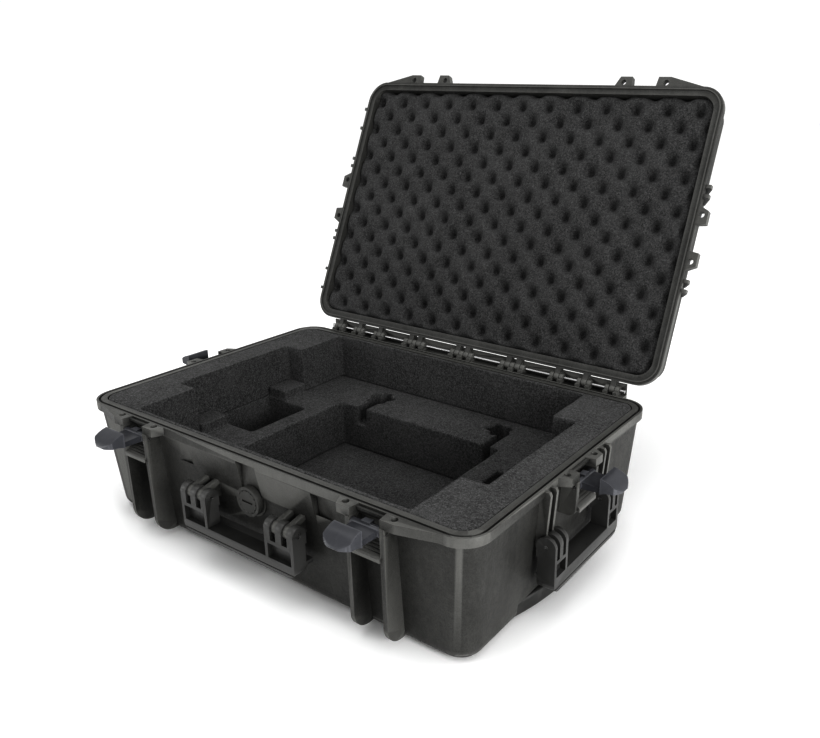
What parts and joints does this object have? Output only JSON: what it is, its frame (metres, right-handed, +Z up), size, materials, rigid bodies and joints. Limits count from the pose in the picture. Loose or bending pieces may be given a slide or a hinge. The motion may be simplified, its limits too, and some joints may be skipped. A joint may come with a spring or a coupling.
{
  "type": "drone carrying case",
  "caption": "Wheeled hard carrying case for a drone, lid open, with cut foam in the base, egg-crate foam in the lid, snap latches, folding handles and a pull-out handle.",
  "frame": {"origin": "centre of the base's flat underside, on the floor", "axes": "+Z up, X along the long front face (wheels at -X, pull-out handle at +X), the front with its handle faces -Y, hinge at +Y"},
  "size_m": [0.786, 0.7422, 0.5995],
  "materials": {
    "shell_plastic": "matte",
    "handle_plastic": "satin",
    "latch_plastic": "satin",
    "valve_plastic": "satin",
    "base_foam": "matte",
    "lid_foam": "matte",
    "seal_rubber": "matte",
    "tyre_rubber": "matte",
    "hub_plastic": "satin",
    "steel": "satin",
    "tube_aluminium": "satin"
  },
  "bodies": {
    "base": {"base_shell": "shell_plastic", "rim_seal": "seal_rubber", "hinge_rod": "steel", "latch_pins": "steel", "front_handle_pins": "steel", "side_handle_pins": "steel", "valve_body": "valve_plastic", "valve_washer": "seal_rubber", "base_foam_top": "base_foam", "base_foam_mid": "base_foam", "base_foam_low": "base_foam", "base_foam_floor": "base_foam", "trolley_sleeves": "steel", "sleeve_clamps": "handle_plastic", "clamp_screws": "steel", "wheel_axles": "steel"},
    "lid": {"lid_shell": "shell_plastic", "lid_foam": "lid_foam"},
    "front_left_latch": {"front_left_latch": "latch_plastic"},
    "front_right_latch": {"front_right_latch": "latch_plastic"},
    "left_end_latch": {"left_end_latch": "latch_plastic"},
    "right_end_latch": {"right_end_latch": "latch_plastic"},
    "front_handle": {"front_handle": "handle_plastic"},
    "side_handle": {"side_handle": "handle_plastic"},
    "valve_knob": {"valve_knob": "valve_plastic"},
    "trolley": {"trolley_grip": "handle_plastic", "trolley_tubes": "tube_aluminium"},
    "front_wheel": {"front_wheel_tyre": "tyre_rubber", "front_wheel_hub": "hub_plastic"},
    "rear_wheel": {"rear_wheel_tyre": "tyre_rubber", "rear_wheel_hub": "hub_plastic"}
  },
  "joints": [
    {"name": "lid_hinge", "type": "hinge", "parent": "base", "child": "lid", "pos_m": [0, 0.233, 0.172], "axis": [1, 0, 0], "range_deg": [0, 114.2]},
    {"name": "front_left_latch_pivot", "type": "hinge", "parent": "base", "child": "front_left_latch", "pos_m": [-0.202, -0.23, 0.15], "axis": [-1, 0, 0], "range_deg": [0, 90]},
    {"name": "front_right_latch_pivot", "type": "hinge", "parent": "base", "child": "front_right_latch", "pos_m": [0.202, -0.23, 0.15], "axis": [-1, 0, 0], "range_deg": [0, 90]},
    {"name": "left_end_latch_pivot", "type": "hinge", "parent": "base", "child": "left_end_latch", "pos_m": [-0.34, 0, 0.15], "axis": [0, 1, 0], "range_deg": [0, 90]},
    {"name": "right_end_latch_pivot", "type": "hinge", "parent": "base", "child": "right_end_latch", "pos_m": [0.34, 0, 0.15], "axis": [0, -1, 0], "range_deg": [0, 90]},
    {"name": "front_handle_pivot", "type": "hinge", "parent": "base", "child": "front_handle", "pos_m": [0, -0.233, 0.104], "axis": [-1, 0, 0], "range_deg": [0, 95]},
    {"name": "side_handle_pivot", "type": "hinge", "parent": "base", "child": "side_handle", "pos_m": [0.3375, 0, 0.098], "axis": [0, -1, 0], "range_deg": [0, 95]},
    {"name": "valve_screw", "type": "hinge", "parent": "base", "child": "valve_knob", "pos_m": [0, -0.221, 0.11], "axis": [0, -1, 0], "range_deg": [0, 180]},
    {"name": "trolley_slide", "type": "slide", "parent": "base", "child": "trolley", "axis": [1, 0, 0], "range_m": [0, 0.36]},
    {"name": "front_wheel_spin", "type": "hinge", "parent": "base", "child": "front_wheel", "pos_m": [-0.296, -0.152, 0.028], "axis": [0, 1, 0], "continuous": true},
    {"name": "rear_wheel_spin", "type": "hinge", "parent": "base", "child": "rear_wheel", "pos_m": [-0.296, 0.152, 0.028], "axis": [0, 1, 0], "continuous": true}
  ]
}
